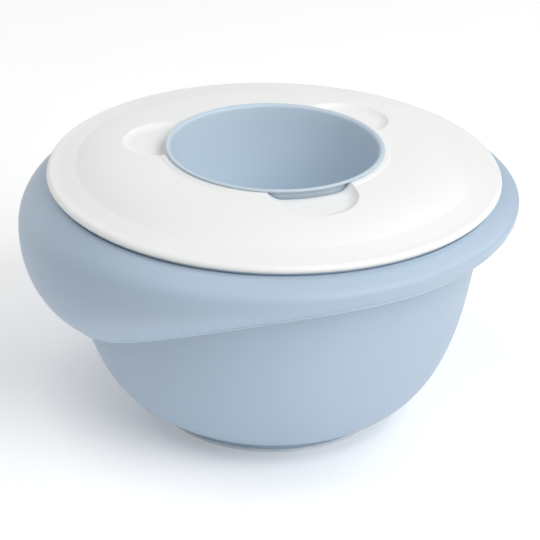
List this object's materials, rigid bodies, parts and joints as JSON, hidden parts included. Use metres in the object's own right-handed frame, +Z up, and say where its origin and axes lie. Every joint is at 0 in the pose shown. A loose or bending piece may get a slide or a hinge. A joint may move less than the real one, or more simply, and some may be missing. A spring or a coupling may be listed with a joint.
{
  "type": "mixing bowl",
  "caption": "Round mixing bowl with a rounded grip lobe on one side, a ring-shaped splash lid with finger scoops, and a filler cup that stops the lid's middle hole.",
  "frame": {"origin": "centre of the foot, on the surface that the bowl stands on", "axes": "+Z up along the bowl's axis; -X towards the middle of the grip lobe"},
  "size_m": [0.254, 0.2498, 0.1445],
  "materials": {
    "blue_plastic": "satin moulded polypropylene, pale grey-blue",
    "collar_plastic": "satin moulded polypropylene, pale grey-blue",
    "soft_ring": "matt soft elastomer, very pale grey-blue",
    "white_plastic": "satin moulded polypropylene, white",
    "cup_plastic": "satin moulded polypropylene, pale grey-blue"
  },
  "bodies": {
    "bowl": {"bowl": "blue_plastic", "grip_collar": "collar_plastic", "foot_ring": "soft_ring"},
    "lid": {"splash_lid": "white_plastic"},
    "cup": {"filler_cup": "cup_plastic"}
  },
  "joints": [
    {"name": "lid_lift", "type": "slide", "parent": "bowl", "child": "lid", "axis": [0, 0, 1], "range_m": [0, 0.12]},
    {"name": "cup_lift", "type": "slide", "parent": "lid", "child": "cup", "axis": [0, 0, 1], "range_m": [0, 0.08]}
  ]
}
